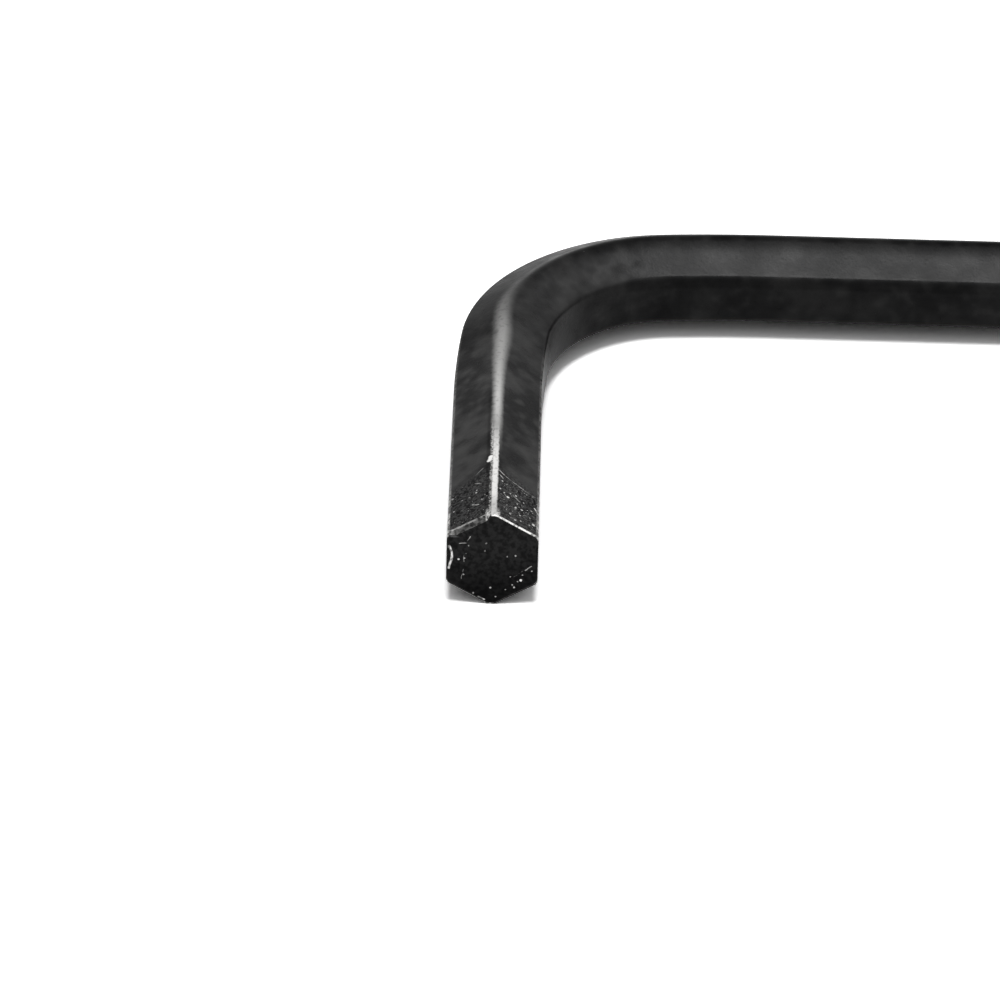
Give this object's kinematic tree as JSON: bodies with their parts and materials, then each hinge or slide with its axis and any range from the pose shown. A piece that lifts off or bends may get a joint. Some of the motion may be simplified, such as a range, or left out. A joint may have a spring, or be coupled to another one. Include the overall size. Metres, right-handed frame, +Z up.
{
  "type": "hex key",
  "caption": "L-shaped hex key: a dark steel hexagonal bar bent once into a short arm and a long arm, with worn corners.",
  "frame": {"origin": "on the table under the middle of the key's outline, as it lies on the lower corner of its bar", "axes": "+X along the long arm towards its end, -Y along the short arm towards its end, +Z up from the table"},
  "size_m": [0.063, 0.02, 0.0033],
  "materials": {
    "dark_steel": "black oxide, semi-gloss, worn bright along the corners and at the short end"
  },
  "bodies": {
    "root": {"hex_key": "dark_steel"}
  },
  "joints": []
}
